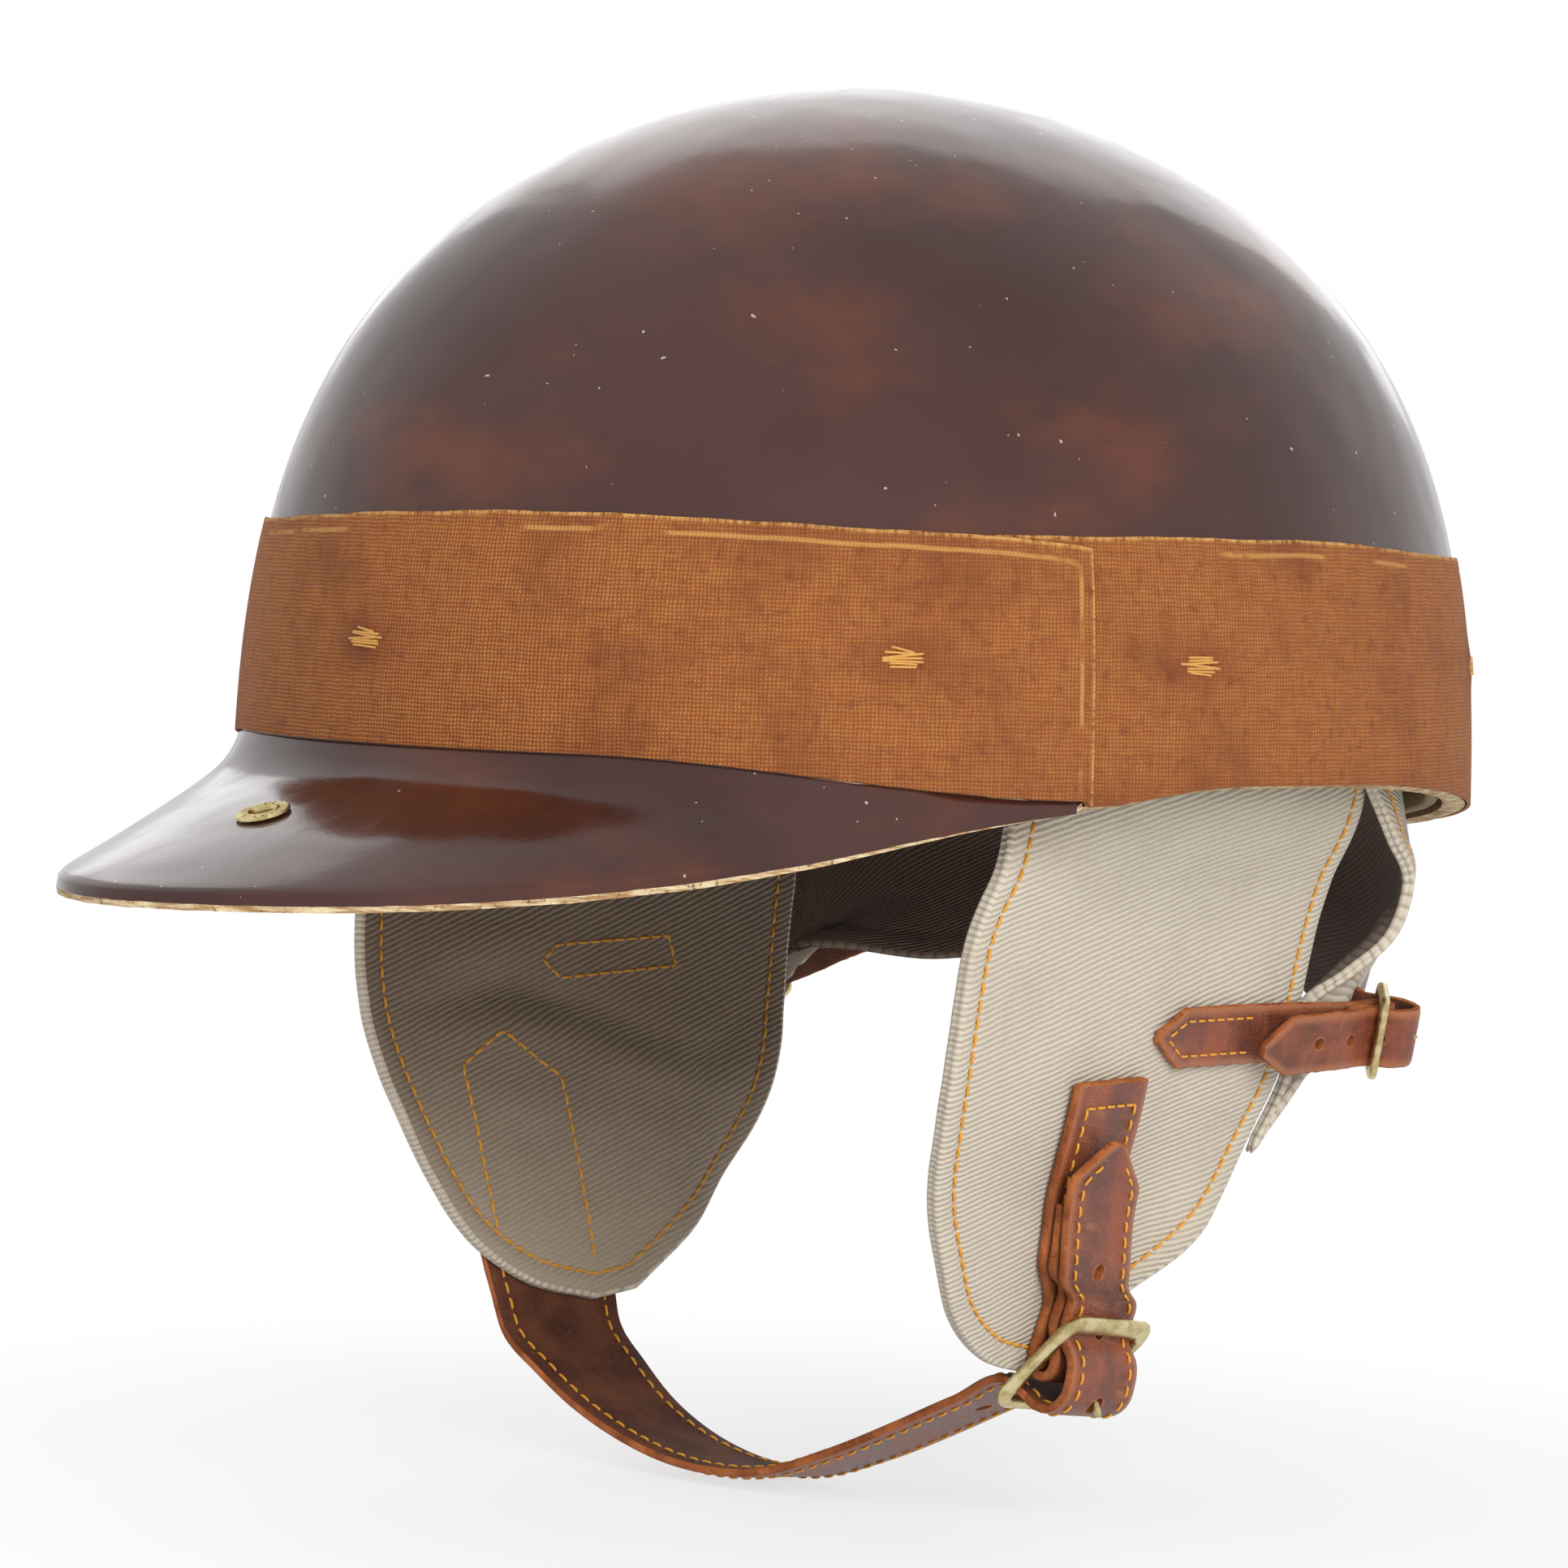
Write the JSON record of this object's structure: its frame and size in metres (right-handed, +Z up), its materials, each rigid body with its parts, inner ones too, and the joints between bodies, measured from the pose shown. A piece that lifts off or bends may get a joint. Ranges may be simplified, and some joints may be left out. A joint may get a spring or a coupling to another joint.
{
  "type": "half shell racing helmet",
  "caption": "Half-shell racing helmet with a short peak, linen band, cradle, canvas ear flaps and neck curtain, a buckled chin strap and buckled nape straps",
  "frame": {"origin": "middle of the head opening, level with the shell's rim at the sides", "axes": "+Z up through the crown, the helmet faces -Y, +X is the wearer's left"},
  "size_m": [0.2198, 0.3211, 0.2743],
  "materials": {
    "varnished_shell": "dark red-brown varnish over moulded laminate, mottled, high gloss",
    "orange_linen": "plain-woven orange-brown linen, varnish stained",
    "olive_felt": "matte felt",
    "khaki_twill": "grey-khaki cotton twill, matte",
    "brown_leather": "oiled reddish-brown leather, raw orange edges",
    "antique_brass": "aged brass, rubbed silvery in places",
    "pale_cord": "waxed pale yellow cord"
  },
  "bodies": {
    "helmet": {"shell": "varnished_shell", "rim_lining": "olive_felt", "linen_band": "orange_linen", "peak": "varnished_shell", "peak_eyelet": "antique_brass", "headband": "brown_leather", "cradle_arm_1": "brown_leather", "cradle_arm_2": "brown_leather", "cradle_arm_3": "brown_leather", "cradle_arm_4": "brown_leather", "cradle_arm_5": "brown_leather", "cradle_arm_6": "brown_leather", "cradle_arm_7": "brown_leather", "cradle_arm_8": "brown_leather", "cradle_anchor_1": "pale_cord", "cradle_anchor_2": "pale_cord", "cradle_anchor_3": "pale_cord", "cradle_anchor_4": "pale_cord", "cradle_anchor_5": "pale_cord", "cradle_anchor_6": "pale_cord", "cradle_anchor_7": "pale_cord", "cradle_anchor_8": "pale_cord", "crown_disc": "brown_leather", "flap_hem_left": "khaki_twill", "flap_hem_right": "khaki_twill", "curtain_hem": "khaki_twill", "neck_curtain": "khaki_twill"},
    "flap_left": {"ear_flap_left": "khaki_twill", "chin_anchor_strap": "brown_leather", "nape_anchor_strap_left": "brown_leather", "nape_strap_left": "brown_leather"},
    "flap_right": {"ear_flap_right": "khaki_twill", "chin_strap": "brown_leather", "nape_anchor_strap_right": "brown_leather", "nape_strap_right": "brown_leather"},
    "chin_buckle": {"chin_buckle_frame": "antique_brass"},
    "chin_prong": {"chin_buckle_prong": "antique_brass"},
    "nape_buckle_left": {"nape_buckle_frame_left": "antique_brass"},
    "nape_prong_left": {"nape_buckle_prong_left": "antique_brass"},
    "nape_buckle_right": {"nape_buckle_frame_right": "antique_brass"},
    "nape_prong_right": {"nape_buckle_prong_right": "antique_brass"}
  },
  "joints": [
    {"name": "left_flap_swing", "type": "hinge", "parent": "helmet", "child": "flap_left", "pos_m": [0.08629, 0.00534, -0.00062], "axis": [0, -1, 0], "range_deg": [0, 12], "deforming": ["chin_strap"]},
    {"name": "right_flap_swing", "type": "hinge", "parent": "helmet", "child": "flap_right", "pos_m": [-0.08629, 0.00534, -0.00062], "axis": [0, 1, 0], "range_deg": [0, 12], "deforming": ["chin_strap"]},
    {"name": "chin_buckle_turn", "type": "hinge", "parent": "flap_left", "child": "chin_buckle", "pos_m": [0.06378, -0.00374, -0.11225], "axis": [-0.1665, 0.9766, -0.1361], "range_deg": [0, 6], "deforming": ["chin_strap"]},
    {"name": "chin_prong_turn", "type": "hinge", "parent": "flap_left", "child": "chin_prong", "pos_m": [0.06378, -0.00374, -0.11225], "axis": [-0.1665, 0.9766, -0.1361], "range_deg": [-3, 3]},
    {"name": "nape_buckle_turn_left", "type": "hinge", "parent": "flap_left", "child": "nape_buckle_left", "pos_m": [0.075, 0.07, -0.0505], "axis": [0.216, -0.0476, 0.9752], "range_deg": [0, 5]},
    {"name": "nape_prong_turn_left", "type": "hinge", "parent": "flap_left", "child": "nape_prong_left", "pos_m": [0.075, 0.07, -0.0505], "axis": [0.216, -0.0476, 0.9752], "range_deg": [-3, 3]},
    {"name": "nape_buckle_turn_right", "type": "hinge", "parent": "flap_right", "child": "nape_buckle_right", "pos_m": [-0.082, 0.0526, -0.0488], "axis": [0.2154, 0.0428, -0.9756], "range_deg": [0, 4]},
    {"name": "nape_prong_turn_right", "type": "hinge", "parent": "flap_right", "child": "nape_prong_right", "pos_m": [-0.082, 0.0526, -0.0488], "axis": [0.2154, 0.0428, -0.9756], "range_deg": [-3, 3]}
  ]
}
